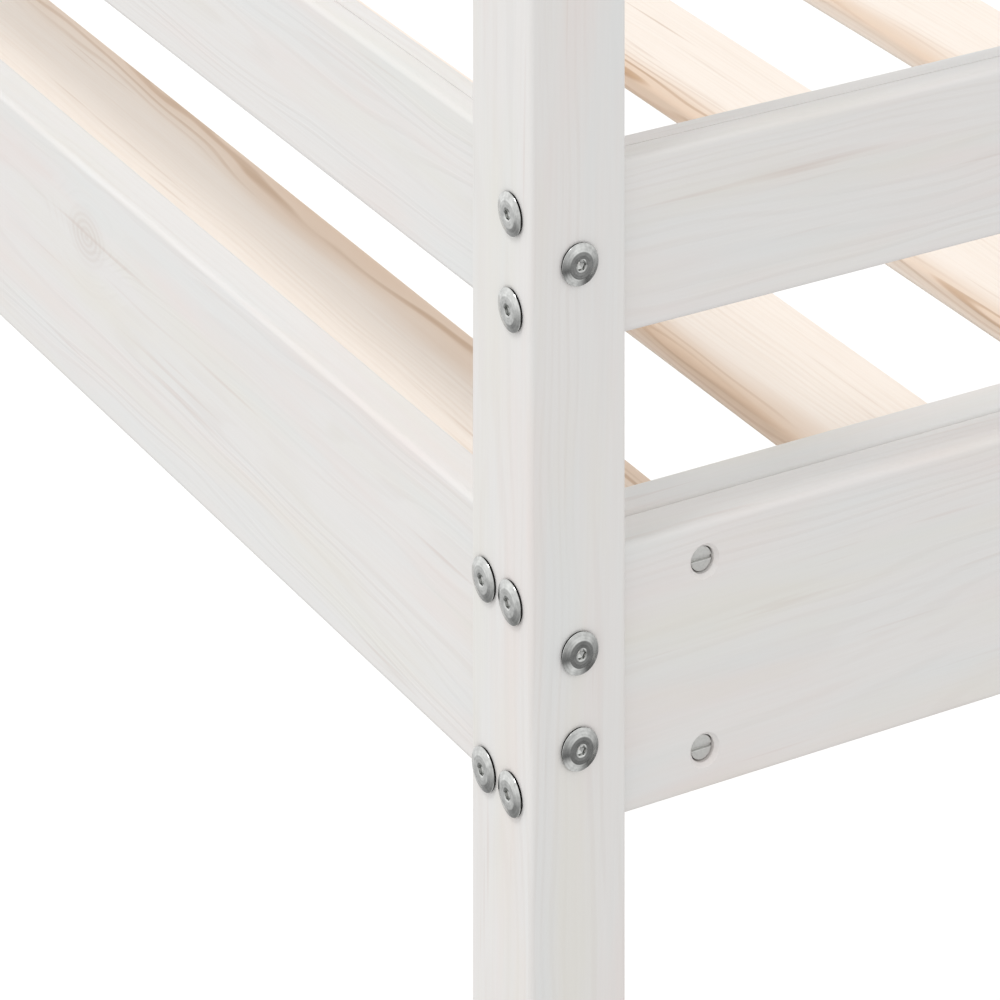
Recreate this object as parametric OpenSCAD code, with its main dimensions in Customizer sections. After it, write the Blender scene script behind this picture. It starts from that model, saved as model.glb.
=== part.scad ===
// Bunk bed with a lift-off ladder, in solid timber with flat-head connector bolts.
// Millimetres, +X along the bed, +Y towards its back, +Z up, floor at Z = 0.
// The origin is the middle of the whole footprint, ladder included.

/* [Mattress] */
// Length of the mattress that each bunk holds
mattress_l = 1900; // [1500:10:2300]
// Width of the mattress that each bunk holds
mattress_w = 900; // [700:10:1200]
// Clearance left round the mattress
mattress_gap = 5; // [5:1:20]

/* [Posts] */
// Side of the square corner post
post = 45; // [42:1:60]
// Height of the post's top above the highest guard rail
post_over = 37; // [10:1:80]
// Rounding of the post's long edges
post_r = 2; // [1:0.5:5]

/* [Boards] */
// Thickness of every rail, slat ledger and ladder board
board_t = 20; // [16:1:24]
// Height of the wide rails that carry the slats
wide_h = 108; // [90:1:130]
// Height of the narrow guard rails, and width of the ladder boards
narrow_h = 70; // [58:1:84]
// Rounding of the boards' long edges
edge_r = 2.5; // [1:0.5:5]
// Depth from a post's long face to the outer side board
side_setback = 4; // [2:0.5:6]

/* [Heights] */
// Top of the lower bunk's wide rails
lower_top = 285; // [250:5:360]
// Top of the upper bunk's wide rails
upper_top = 1265; // [1040:5:1500]
// Open height between one rail and the next above it
rail_gap = 84; // [70:1:90]

/* [Slats] */
// Width of a slat
slat_w = 70; // [50:1:90]
// Thickness of a slat
slat_t = 10; // [8:1:20]
// Depth of the slats' top below the wide rail's top
slat_drop = 15; // [8:1:30]
// Slats in each bunk
slat_n = 14; // [10:1:18]
// Height of the ledger under the slats' ends
ledger_h = 28; // [20:1:40]
// Play at each end of a slat
slat_play = 2; // [1:0.5:5]

/* [Connector bolts] */
// Diameter of the connector bolt
bolt_d = 6; // [5:0.5:8]
// Extra diameter of a bolt's hole
bolt_play = 0.8; // [0.4:0.1:1.5]
// Diameter of the bolt's flat head
head_d = 17; // [13:0.5:20]
// Diameter of the flat on top of the head
head_flat_d = 11; // [8:0.5:13]
// Height of the bolt's head
head_h = 2.3; // [1.5:0.1:4]
// Height of the straight rim under the head's bevel
head_rim = 0.5; // [0.2:0.1:1]
// Size of the hexagon socket across its flats
socket_af = 4; // [3:0.5:5]
// Diameter of the barrel nut
nut_d = 10; // [9:0.5:13]
// Length of the barrel nut
nut_l = 13; // [10:0.5:15]
// Depth of the nut's slotted face below the wood
nut_sink = 2.5; // [0.5:0.5:3]
// Distance from a rail's end to its barrel nut
nut_in = 40; // [30:1:60]
// Distance of the side rail's bolts from the rail's middle line
wide_bolt_off = 38; // [30:1:44]
// Distance of the guard rail's and end rail's bolts from the rail's middle line
narrow_bolt_off = 19; // [14:1:24]
// Diameter of the wooden dowels
dowel_d = 8; // [6:1:10]
// Length of the wooden dowels
dowel_l = 30; // [20:1:36]

/* [Ladder] */
// Outside width of the ladder
ladder_w = 400; // [320:5:480]
// Lean of the ladder from upright, in degrees
ladder_lean = 10; // [4:0.5:16]
// Height of the ladder's stiles above the upper rail's top
stile_over = 40; // [20:5:80]
// Thickness of the ladder's steel hooks
hook_t = 4; // [3:0.5:4.5]
// Width of the ladder's steel hooks
hook_w = 16; // [12:1:20]
// Length of each hook along its stile
hook_leg = 90; // [60:5:150]
// Gap between the ladder and what it stands next to
ladder_gap = 15; // [8:1:30]

/* [Screws and feet] */
// Diameter of a wood screw's shank
screw_d = 4; // [3:0.5:5]
// Length of the screws through the ladder's stiles
screw_l = 50; // [35:1:60]
// Diameter of a wood screw's countersunk head
screw_head_d = 8; // [6:0.5:10]
// Diameter of the glide under each post
glide_d = 32; // [24:1:38]
// Thickness of the glides and of the ladder's pads
glide_h = 5; // [3:0.5:8]

/* [Hidden] */
$fn = 48;

WAXED = "gainsboro";
PINE = "wheat";
STEEL = "silver";
NYLON = "dimgray";

// The bed's own size, and where its middle lies once the ladder's foot is counted. The inside width lies
// between the double side boards, or between thicker posts, which may stand in by post_in.
end_setback = (post - board_t) / 2;
inside_l = mattress_l + 2 * mattress_gap;
inside_w = mattress_w + 2 * mattress_gap;
overall_l = inside_l + 2 * (end_setback + board_t);
rail_t = 2 * board_t;
post_in = 1;
side_depth = max(side_setback + rail_t, post - post_in);
overall_w = inside_w + 2 * side_depth;
hook_play = 0.5;
stile_off = hook_t + 2 * hook_play;
stile_run = narrow_h / cos(ladder_lean);
ladder_out = stile_off - side_setback + (upper_top - glide_h) * tan(ladder_lean) + stile_run;
mid_y = (ladder_out - head_h) / 2;

// Heights of the rails' middle lines.
wide_z = [lower_top - wide_h / 2, upper_top - wide_h / 2];
guard_z = [for (i = [0, 1]) upper_top + (i + 1) * rail_gap + (i + 0.5) * narrow_h];
head_z = lower_top + rail_gap + narrow_h / 2;
guard_top = guard_z[1] + narrow_h / 2;
post_top = guard_top + post_over;

// Lengths of the boards between the posts.
side_l = overall_l - 2 * post;
end_l = overall_w - 2 * post;

// Depths of the outer and the inner side board's middle from the post's long face.
side_col = [side_setback + board_t / 2, side_setback + 1.5 * board_t];

// Bolt places on a post: [depth from its long face, height] along X, and heights along Y.
wide_pts = [for (z = wide_z, c = side_col, s = [-1, 1]) [c, z + s * wide_bolt_off]];
guard_pts = [for (z = guard_z, s = [-1, 1]) [side_col[0], z + s * narrow_bolt_off]];
side_dowel_pts = [for (z = wide_z, c = side_col) [c, z]];
end_wide_z = [for (z = wide_z, s = [-1, 1]) z + s * narrow_bolt_off];
end_narrow_z = concat([head_z], guard_z);
end_dowel_z = concat(wide_z, [for (z = end_narrow_z, s = [-1, 1]) z + s * narrow_bolt_off]);

bolt_past = nut_d;
bolt_l = post + nut_in + bolt_past;
bolt_hole_d = bolt_d + bolt_play;
nut_hole_d = nut_d + 0.6;
nut_chamfer = 0.9;
nut_thread_d = bolt_d + 0.2;
dowel_play = 0.2;
slot_w = 1.4;
slot_h = 1.2;
over = 1;

// Slats, from one end rail's inner face to the other's.
slat_l = inside_w - 2 * slat_play;
slat_pitch = (inside_l - slat_w) / (slat_n - 1);
slat_x = [for (i = [0 : slat_n - 1]) -inside_l / 2 + slat_w / 2 + i * slat_pitch];
ledger_l = side_l - 2 * slat_play;
ledger_y = overall_w / 2 - side_setback - rail_t - board_t / 2;
slat_screw_y = min(ledger_y, slat_l / 2 - 1.25 * screw_d);
ledger_screw_x = [for (i = [0 : 2 : slat_n - 2]) slat_x[i] + slat_pitch / 2];
ledger_screw_l = 1.6 * board_t;
slat_screw_l = slat_t + 0.6 * ledger_h;
screw_play = 0.2;

// Ladder opening beside the right-hand front post.
ladder_x = overall_l / 2 - post - ladder_gap - ladder_w / 2;
stile_x = ladder_x - ladder_w / 2 - ladder_gap - narrow_h / 2;
stile_bolt_l = 34;
stile_foot_bolt_l = wide_h + nut_in + bolt_past;
front_guard_l = stile_x + narrow_h / 2 + overall_l / 2 - post;
rail_face_y = mid_y - overall_w / 2 + side_setback;
tread_n = 5;
tread_pitch = upper_top / (tread_n + 1);
tread_l = ladder_w - 2 * board_t;
ladder_top = upper_top + stile_over;

// Depth of the stile's back edge at height z: it passes just in front of the rail's top edge.
function stile_back_y(z) = rail_face_y - stile_off - (upper_top - z) * tan(ladder_lean);

module rounded(w, h, r) {
  square([w - 2 * r, h], center = true);
  square([w, h - 2 * r], center = true);
  for (x = [-1, 1], y = [-1, 1])
    translate([x * (w / 2 - r), y * (h / 2 - r)]) circle(r);
}

// A board of length l along X or along Y, centred on its own middle.
module board_x(l, h) {
  rotate([90, 0, 90]) linear_extrude(l, center = true) rounded(board_t, h, edge_r);
}

module board_y(l, h) {
  rotate([90, 0, 0]) linear_extrude(l, center = true) rounded(board_t, h, edge_r);
}

// Local frame of a corner: origin on the floor at the post's outer corner, +X and +Y inwards.
module at_corner(sx, sy) {
  translate([sx * overall_l / 2, mid_y + sy * overall_w / 2, 0])
    mirror([sx > 0 ? 1 : 0, 0, 0])
      mirror([0, sy > 0 ? 1 : 0, 0])
        children();
}

module rod_x(d, l) {
  rotate([0, 90, 0]) cylinder(d = d, h = l);
}

module rod_y(d, l) {
  rotate([-90, 0, 0]) cylinder(d = d, h = l);
}

// Bolt with its head's underside at Z = 0 and its shank going up.
module bolt(l) {
  difference() {
    union() {
      cylinder(d = bolt_d, h = l);
      rotate_extrude()
        polygon([[0, 0], [head_d / 2, 0], [head_d / 2, -head_rim], [head_flat_d / 2, -head_h], [0, -head_h]]);
    }
    translate([0, 0, -head_h - over])
      cylinder(d = socket_af / cos(30), h = head_h + over - head_rim, $fn = 6);
  }
}

// Barrel nut along Z, its slotted face at the top, with its thread and its slot along X.
module barrel_nut() {
  thread_z = -(board_t / 2 - nut_sink);
  difference() {
    translate([0, 0, -nut_l]) cylinder(d = nut_d, h = nut_l);
    translate([-nut_d, 0, thread_z]) rod_x(nut_thread_d, 2 * nut_d);
    translate([-nut_d, -slot_w / 2, -slot_h]) cube([2 * nut_d, slot_w, slot_h + over]);
  }
}

// Drilling for a barrel nut from the face at Z = 0 downwards.
module nut_hole() {
  translate([0, 0, -nut_sink - nut_l]) cylinder(d = nut_hole_d, h = nut_sink + nut_l + over);
  translate([0, 0, -nut_chamfer])
    cylinder(d1 = nut_hole_d, d2 = nut_hole_d + 2 * (nut_chamfer + over), h = nut_chamfer + over);
}

// Countersunk screw with its head flush at Z = 0 and its shank going down.
module screw(l) {
  head_cone = (screw_head_d - screw_d) / 2;
  translate([0, 0, -head_cone]) cylinder(d1 = screw_d, d2 = screw_head_d, h = head_cone);
  translate([0, 0, -l]) cylinder(d = screw_d, h = l - head_cone);
}

// Drilling for a screw of length l, countersunk from the face at Z = 0.
module screw_hole(l) {
  head_cone = (screw_head_d - screw_d) / 2;
  hole_d = screw_d + screw_play;
  translate([0, 0, -head_cone]) cylinder(d1 = hole_d, d2 = screw_head_d + screw_play, h = head_cone);
  translate([0, 0, -over / 4]) cylinder(d = screw_head_d + screw_play, h = over);
  translate([0, 0, -l - over]) cylinder(d = hole_d, h = l + over);
}

module corner_post(sx, sy, guards) {
  pts = guards ? concat(wide_pts, guard_pts) : wide_pts;
  color(WAXED) at_corner(sx, sy) difference() {
    translate([post / 2, post / 2, glide_h]) linear_extrude(post_top - glide_h) rounded(post, post, post_r);
    for (p = pts) translate([-over, p[0], p[1]]) rod_x(bolt_hole_d, post + 2 * over);
    for (z = concat(end_wide_z, end_narrow_z))
      translate([post / 2, -over, z]) rod_y(bolt_hole_d, post + 2 * over);
    for (p = side_dowel_pts)
      translate([post - dowel_l / 2, p[0], p[1]]) rod_x(dowel_d + dowel_play, dowel_l);
    for (z = end_dowel_z)
      translate([post / 2, post - dowel_l / 2, z]) rod_y(dowel_d + dowel_play, dowel_l);
  }
}

// One side board: col 0 is the outer board, col 1 the inner; its nuts go in from the face that shows.
module side_board(sy, level, col) {
  color(WAXED) difference() {
    translate([0, mid_y + sy * (overall_w / 2 - side_col[col]), wide_z[level]]) board_x(side_l, wide_h);
    for (sx = [-1, 1]) at_corner(sx, sy) {
      for (s = [-1, 1])
        translate([post, side_col[col], wide_z[level] + s * wide_bolt_off]) {
          translate([-over, 0, 0]) rod_x(bolt_hole_d, nut_in + bolt_past + 2 * over);
          translate([nut_in, (col == 0 ? -1 : 1) * board_t / 2, 0])
            rotate([col == 0 ? 90 : -90, 0, 0]) nut_hole();
        }
      translate([post - over, side_col[col], wide_z[level]]) rod_x(dowel_d + dowel_play, dowel_l / 2 + over);
    }
    if (sy < 0 && level == 1 && col == 1) stile_foot_hole();
    if (col == 1) for (x = ledger_screw_x) at_ledger_screw(x, sy, level) screw_hole(ledger_screw_l);
  }
}

function ledger_top(level) = wide_z[level] + wide_h / 2 - slat_drop - slat_t;

// A rail across the bed's end, in the middle of its two posts.
module end_board(sx, z, h, bolts) {
  color(WAXED) difference() {
    translate([sx * (overall_l / 2 - post / 2), mid_y, z]) board_y(end_l, h);
    for (sy = [-1, 1]) at_corner(sx, sy) {
      for (bz = bolts)
        translate([post / 2, post, bz]) {
          translate([0, -over, 0]) rod_y(bolt_hole_d, nut_in + bolt_past + 2 * over);
          translate([board_t / 2, nut_in, 0]) rotate([0, 90, 0]) nut_hole();
        }
      for (dz = end_dowel_z)
        if (abs(dz - z) < h / 2)
          translate([post / 2, post - over, dz]) rod_y(dowel_d + dowel_play, dowel_l / 2 + over);
    }
  }
}

module end_wide(sx, level) {
  end_board(sx, wide_z[level], wide_h, [for (s = [-1, 1]) wide_z[level] + s * narrow_bolt_off]);
}

module end_narrow(sx, z) {
  end_board(sx, z, narrow_h, [z]);
}

module guard_nut_holes(sx, sy, z) {
  at_corner(sx, sy) for (s = [-1, 1])
    translate([post, side_col[0], z + s * narrow_bolt_off]) {
      translate([-over, 0, 0]) rod_x(bolt_hole_d, nut_in + bolt_past + 2 * over);
      translate([nut_in, board_t / 2, 0]) rotate([-90, 0, 0]) nut_hole();
    }
}

module back_guard(i) {
  color(WAXED) difference() {
    translate([0, mid_y + overall_w / 2 - side_col[0], guard_z[i]]) board_x(side_l, narrow_h);
    for (sx = [-1, 1]) guard_nut_holes(sx, 1, guard_z[i]);
  }
}

// Front guard, from the left-hand post to the stile beside the ladder.
module front_guard(i) {
  color(WAXED) difference() {
    translate([-overall_l / 2 + post + front_guard_l / 2, mid_y - overall_w / 2 + side_col[0], guard_z[i]])
      board_x(front_guard_l, narrow_h);
    guard_nut_holes(-1, -1, guard_z[i]);
    at_stile_bolts(i) translate([0, 0, -over]) cylinder(d = bolt_hole_d, h = board_t + 2 * over);
  }
}

// The two bolts that hold front guard i to its stile, head outwards and shank along +Y.
module at_stile_bolts(i) {
  for (s = [-1, 1])
    translate([stile_x, rail_face_y, guard_z[i] + s * narrow_bolt_off]) rotate([-90, 0, 0]) children();
}

stile_l = guard_top - upper_top;
stile_y = mid_y - overall_w / 2 + side_col[1];
stile_nut_z = upper_top + nut_in;
stile_dowel_x = [stile_x - narrow_bolt_off, stile_x + narrow_bolt_off];

module stile_foot_hole() {
  translate([stile_x, stile_y, upper_top - wide_h - over])
    cylinder(d = bolt_hole_d, h = wide_h + nut_in + bolt_past + 2 * over);
  for (x = stile_dowel_x)
    translate([x, stile_y, upper_top - dowel_l / 2]) cylinder(d = dowel_d + dowel_play, h = dowel_l);
}

module guard_stile() {
  color(WAXED) difference() {
    translate([stile_x, stile_y, upper_top]) rotate([0, 0, 90])
      linear_extrude(stile_l) rounded(board_t, narrow_h, edge_r);
    stile_foot_hole();
    translate([stile_x, stile_y + board_t / 2, stile_nut_z]) rotate([-90, 0, 0]) nut_hole();
    for (i = [0, 1]) at_stile_bolts(i) translate([0, 0, board_t - over])
      cylinder(d = bolt_hole_d, h = stile_bolt_l - board_t + 2 * over);
  }
}

module ledger(sy, level) {
  z = ledger_top(level) - ledger_h / 2;
  color(PINE) difference() {
    translate([0, mid_y + sy * ledger_y, z]) board_x(ledger_l, ledger_h);
    for (x = slat_x) at_slat_screw(x, sy, level) screw_hole(slat_screw_l);
    for (x = ledger_screw_x) at_ledger_screw(x, sy, level) screw_hole(ledger_screw_l);
  }
}

// Place of a ledger screw, its head flush in the ledger's open side and its shank outwards.
module at_ledger_screw(x, sy, level) {
  translate([x, mid_y + sy * (ledger_y - board_t / 2), ledger_top(level) - ledger_h / 2])
    rotate([sy * 90, 0, 0]) children();
}

// Place of a slat screw, its head flush in the slat's top.
module at_slat_screw(x, sy, level) {
  translate([x, mid_y + sy * slat_screw_y, ledger_top(level) + slat_t]) children();
}

module slats(level) {
  z = wide_z[level] + wide_h / 2 - slat_drop - slat_t / 2;
  color(PINE) for (x = slat_x) difference() {
    translate([x, mid_y, z]) rotate([90, 0, 0]) linear_extrude(slat_l, center = true)
      rounded(slat_w, slat_t, min(edge_r, slat_t / 3));
    for (sy = [-1, 1]) at_slat_screw(x, sy, level) screw_hole(slat_screw_l);
  }
}

module side_bolts() {
  color(STEEL) for (sx = [-1, 1], sy = [-1, 1]) at_corner(sx, sy)
    for (p = side_pts(sx, sy)) translate([0, p[0], p[1]]) rotate([0, 90, 0]) bolt(bolt_l);
}

// The front guards stop short of the right-hand post, so that post has no guard bolts in its front column.
function side_pts(sx, sy) = sx > 0 && sy < 0 ? wide_pts : concat(wide_pts, guard_pts);

module end_bolts() {
  color(STEEL) for (sx = [-1, 1], sy = [-1, 1]) at_corner(sx, sy)
    for (z = concat(end_wide_z, end_narrow_z)) translate([post / 2, 0, z]) rotate([-90, 0, 0]) bolt(bolt_l);
}

// A nut's slotted face shows outside on the outer wide board, and inside everywhere else.
function nut_outside(p) = p[0] == side_col[0] && p[1] < upper_top;

module side_barrel_nuts() {
  color(STEEL) for (sx = [-1, 1], sy = [-1, 1]) at_corner(sx, sy)
    for (p = side_pts(sx, sy)) {
      face = nut_outside(p) ? -1 : 1;
      translate([post + nut_in, p[0] + face * (board_t / 2 - nut_sink), p[1]])
        rotate([face < 0 ? 90 : -90, 0, 0]) barrel_nut();
    }
}

module end_barrel_nuts() {
  color(STEEL) for (sx = [-1, 1], sy = [-1, 1]) at_corner(sx, sy)
    for (z = concat(end_wide_z, end_narrow_z))
      translate([post / 2 + board_t / 2 - nut_sink, post + nut_in, z])
        rotate([0, 90, 0]) rotate([0, 0, 90]) barrel_nut();
}

module side_dowels() {
  color(PINE) for (sx = [-1, 1], sy = [-1, 1]) at_corner(sx, sy)
    for (p = side_dowel_pts) translate([post - dowel_l / 2, p[0], p[1]]) rod_x(dowel_d, dowel_l);
}

module end_dowels() {
  color(PINE) for (sx = [-1, 1], sy = [-1, 1]) at_corner(sx, sy)
    for (z = end_dowel_z) translate([post / 2, post - dowel_l / 2, z]) rod_y(dowel_d, dowel_l);
}

module stile_bolts() {
  color(STEEL) {
    for (i = [0, 1]) at_stile_bolts(i) bolt(stile_bolt_l);
    translate([stile_x, stile_y, upper_top - wide_h]) bolt(stile_foot_bolt_l);
  }
}

module stile_nuts() {
  color(STEEL) translate([stile_x, stile_y + board_t / 2 - nut_sink, stile_nut_z])
    rotate([-90, 0, 0]) rotate([0, 0, 90]) barrel_nut();
}

module stile_dowels() {
  color(PINE) for (x = stile_dowel_x)
    translate([x, stile_y, upper_top - dowel_l / 2]) cylinder(d = dowel_d, h = dowel_l);
}

module slat_screws() {
  color(STEEL) for (level = [0, 1], sy = [-1, 1], x = slat_x)
    at_slat_screw(x, sy, level) screw(slat_screw_l);
}

module ledger_screws() {
  color(STEEL) for (level = [0, 1], sy = [-1, 1], x = ledger_screw_x)
    at_ledger_screw(x, sy, level) screw(ledger_screw_l);
}

module post_glides() {
  color(NYLON) for (sx = [-1, 1], sy = [-1, 1])
    at_corner(sx, sy) translate([post / 2, post / 2, 0]) cylinder(d = glide_d, h = glide_h);
}

// One ladder stile: a board that leans by ladder_lean and is cut level at its foot.
module ladder_stile(side) {
  x = ladder_x + side * (ladder_w - board_t) / 2;
  reach = ladder_top / cos(ladder_lean) + 2 * narrow_h;
  color(WAXED) difference() {
    translate([x, stile_back_y(0), 0]) rotate([-ladder_lean, 0, 0]) translate([0, -narrow_h / 2, -narrow_h])
      linear_extrude(reach) rounded(board_t, narrow_h, edge_r);
    translate([x, stile_back_y(0), 0]) for (z = [glide_h - reach, ladder_top])
      translate([-board_t, -reach / 2, z]) cube([2 * board_t, reach, reach]);
    for (i = [1 : tread_n]) at_tread_screws(i, side) screw_hole(screw_l);
  }
}

module tread(i) {
  z = i * tread_pitch;
  color(WAXED) difference() {
    translate([ladder_x, tread_y(z), z]) rotate([90, 0, 90])
      linear_extrude(tread_l, center = true) rounded(narrow_h, board_t, edge_r);
    for (side = [-1, 1]) at_tread_screws(i, side) screw_hole(screw_l);
  }
}

tread_screw_off = narrow_h / 4;

// Middle of a tread that lies at height z, in the middle of the leaning stile.
function tread_y(z) = stile_back_y(z) - stile_run / 2;

// Places of the screws through a stile into tread i, heads flush outside.
module at_tread_screws(i, side) {
  z = i * tread_pitch;
  for (s = [-1, 1])
    translate([ladder_x + side * ladder_w / 2, tread_y(z) + s * tread_screw_off, z])
      rotate([0, side * 90, 0]) children();
}

module ladder_screws() {
  color(STEEL) for (i = [1 : tread_n], side = [-1, 1]) at_tread_screws(i, side) screw(screw_l);
}

// A hook bent from flat bar: along the stile's back edge, over both side boards and down inside.
module ladder_hook(side) {
  x = ladder_x + side * (ladder_w - board_t) / 2;
  leg_z = upper_top - hook_leg;
  top_z = upper_top + hook_play;
  inner_y = rail_face_y + rail_t + hook_play;
  color(STEEL) translate([x, 0, 0]) rotate([90, 0, 90]) linear_extrude(hook_w, center = true) {
    polygon([[stile_back_y(leg_z), leg_z], [stile_back_y(leg_z) + hook_t, leg_z],
             [stile_back_y(upper_top) + hook_t, upper_top], [stile_back_y(upper_top) + hook_t, top_z + hook_t],
             [stile_back_y(top_z + hook_t), top_z + hook_t]]);
    translate([stile_back_y(upper_top) + hook_t / 2, top_z])
      square([inner_y + hook_t - stile_back_y(upper_top) - hook_t / 2, hook_t]);
    translate([inner_y, upper_top - slat_drop + hook_play * 3])
      square([hook_t, slat_drop - hook_play * 2 + hook_t]);
  }
}

module ladder_pads() {
  color(NYLON) for (side = [-1, 1])
    translate([ladder_x + side * (ladder_w - board_t) / 2, tread_y(glide_h), glide_h / 2])
      cube([board_t, stile_run - 2 * over, glide_h], center = true);
}

corner_post(-1, -1, true);  // post_front_left
corner_post(1, -1, false);  // post_front_right
corner_post(-1, 1, true);  // post_back_left
corner_post(1, 1, true);  // post_back_right
side_board(-1, 1, 0);  // upper_front_rail_outer
side_board(-1, 1, 1);  // upper_front_rail_inner
side_board(1, 1, 0);  // upper_back_rail_outer
side_board(1, 1, 1);  // upper_back_rail_inner
side_board(-1, 0, 0);  // lower_front_rail_outer
side_board(-1, 0, 1);  // lower_front_rail_inner
side_board(1, 0, 0);  // lower_back_rail_outer
side_board(1, 0, 1);  // lower_back_rail_inner
end_wide(-1, 1);  // upper_left_end_rail
end_wide(1, 1);  // upper_right_end_rail
end_wide(-1, 0);  // lower_left_end_rail
end_wide(1, 0);  // lower_right_end_rail
end_narrow(-1, guard_z[0]);  // left_guard_low
end_narrow(-1, guard_z[1]);  // left_guard_high
end_narrow(1, guard_z[0]);  // right_guard_low
end_narrow(1, guard_z[1]);  // right_guard_high
back_guard(0);  // back_guard_low
back_guard(1);  // back_guard_high
front_guard(0);  // front_guard_low
front_guard(1);  // front_guard_high
end_narrow(-1, head_z);  // lower_left_head_rail
end_narrow(1, head_z);  // lower_right_head_rail
guard_stile();
ledger(-1, 1);  // upper_front_ledger
ledger(1, 1);  // upper_back_ledger
ledger(-1, 0);  // lower_front_ledger
ledger(1, 0);  // lower_back_ledger
slats(1);  // upper_slats
slats(0);  // lower_slats
side_bolts();
end_bolts();
side_barrel_nuts();
end_barrel_nuts();
side_dowels();
end_dowels();
stile_bolts();
stile_nuts();
stile_dowels();
slat_screws();
ledger_screws();
post_glides();
ladder_stile(-1);  // ladder_stile_left
ladder_stile(1);  // ladder_stile_right
tread(1);  // ladder_tread_1
tread(2);  // ladder_tread_2
tread(3);  // ladder_tread_3
tread(4);  // ladder_tread_4
tread(5);  // ladder_tread_5
ladder_hook(-1);  // ladder_hook_left
ladder_hook(1);  // ladder_hook_right
ladder_screws();
ladder_pads();
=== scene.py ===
import math

import bpy
import numpy as np
from bpy.props import FloatProperty, FloatVectorProperty, IntProperty, PointerProperty
from mathutils import Matrix, Vector


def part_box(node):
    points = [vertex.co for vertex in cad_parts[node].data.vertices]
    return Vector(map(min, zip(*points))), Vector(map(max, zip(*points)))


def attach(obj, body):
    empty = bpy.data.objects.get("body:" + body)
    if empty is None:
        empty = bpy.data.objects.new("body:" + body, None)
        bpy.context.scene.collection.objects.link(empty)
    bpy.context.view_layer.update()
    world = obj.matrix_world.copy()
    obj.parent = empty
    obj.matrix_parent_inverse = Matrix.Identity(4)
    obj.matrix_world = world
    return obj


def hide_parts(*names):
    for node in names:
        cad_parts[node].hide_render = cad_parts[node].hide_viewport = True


bl_info = {
    "name": "Bunk Bed with Ladder",
    "version": (1, 0, 0),
    "blender": (4, 5, 0),
    "location": "View3D > Sidebar > Bunk Bed",
    "description": "Builds the timber, fittings and studio of a bunk bed around its packed frame",
    "category": "Object",
}

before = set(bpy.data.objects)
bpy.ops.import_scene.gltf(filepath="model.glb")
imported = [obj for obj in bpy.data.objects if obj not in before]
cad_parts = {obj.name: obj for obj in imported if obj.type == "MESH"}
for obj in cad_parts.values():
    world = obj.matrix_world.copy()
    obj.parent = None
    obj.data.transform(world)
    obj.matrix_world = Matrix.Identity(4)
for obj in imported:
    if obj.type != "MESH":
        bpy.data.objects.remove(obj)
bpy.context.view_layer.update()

MM = 0.001
BED = "bed"
LADDER = "ladder"
LEVELS = ("lower", "upper")
SIDES = ("front", "back")
ENDS = ("left", "right")
# How far beyond a rounding the flat face gets its next vertex, so that smooth shading stays off the flat.
HOLD = 0.3 * MM
# Directions of a board's thickness, height and length, for a board that runs along X, Y or Z.
RUNS = {
    "X": ((0, 1, 0), (0, 0, 1), (1, 0, 0)),
    "Y": ((-1, 0, 0), (0, 0, 1), (0, 1, 0)),
    "Z": ((1, 0, 0), (0, 1, 0), (0, 0, 1)),
}


def linear(hex_code):
    """Linear RGB of an sRGB hex colour: a straight piece below 0.04045 and a 2.4 power above it."""
    values = [int(hex_code[i:i + 2], 16) / 255 for i in (0, 2, 4)]
    return tuple(v / 12.92 if v <= 0.04045 else ((v + 0.055) / 1.055) ** 2.4 for v in values)


def size(name, about, default):
    """A length property, given in millimetres and held in metres."""
    return FloatProperty(name=name, description=about, default=default * MM, unit="LENGTH", precision=4)


def angle(name, about, degrees):
    """An angle property, given in degrees and held in radians."""
    return FloatProperty(name=name, description=about, default=math.radians(degrees), subtype="ANGLE")


def number(name, about, default):
    """A property that is a ratio or a strength."""
    return FloatProperty(name=name, description=about, default=default)


def colour(name, about, hex_code):
    """A colour property, given as an sRGB hex value and held as linear RGB."""
    return FloatVectorProperty(name=name, description=about, default=linear(hex_code), subtype="COLOR",
                               size=3, min=0, max=1)


class TimberSettings(bpy.types.PropertyGroup):
    """Sizes and colours of the boards, posts and slats."""
    edge_round: size("Board edge", "Rounding of the boards' long edges", 2.5)
    post_round: size("Post edge", "Rounding of the posts' long edges", 2)
    end_ease: size("End easing", "Small rounding round a board's cut end", 0.6)
    post_ease: size("Post top easing", "Rounding round a post's top", 1.6)
    groove_width: size("Glue line width", "Width of the groove where a guard rail's halves meet", 0.7)
    groove_depth: size("Glue line depth", "Depth of that groove", 0.7)
    slat_width: size("Slat width", "Width of one slat", 70)
    slat_count: IntProperty(name="Slats", description="Slats in each bunk", default=14, min=2)
    ladder_lean: angle("Ladder lean", "Lean of the ladder's stiles from upright", 10)
    ring_pitch: size("Ring spacing", "Distance from one growth ring to the next", 3.2)
    knot_radius: size("Knot radius", "Radius of a knot", 13)
    knot_place: FloatVectorProperty(name="End rail's knot", size=2, default=(-87, 22),
                                    description="Millimetres from the middle of the upper left end rail")
    washed: colour("Wash", "White wash over the pine", "e3e1df")
    washed_shade: colour("Wash over late wood", "The wash where darker grain shows through", "cec4bd")
    rosy: colour("Rosy patches", "Where the wash lets reddish wood show", "e4d9d5")
    straw: colour("Straw patches", "Where the wash lets yellowish wood show", "e0ded5")
    cool: colour("Cool patches", "Where the wash lies thick", "dde0e0")
    resin: colour("Resin streaks", "Thin streaks of resin under the wash", "b89a8c")
    cream: colour("Sapwood", "Bare pine near the bark", "f5ebe1")
    tan: colour("Heartwood", "Bare pine near the pith", "ddc2a9")
    late: colour("Late wood", "Dark part of a growth ring in bare pine", "b08a64")
    beech: colour("Dowel", "Beech of the dowels", "d9b98f")


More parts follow.
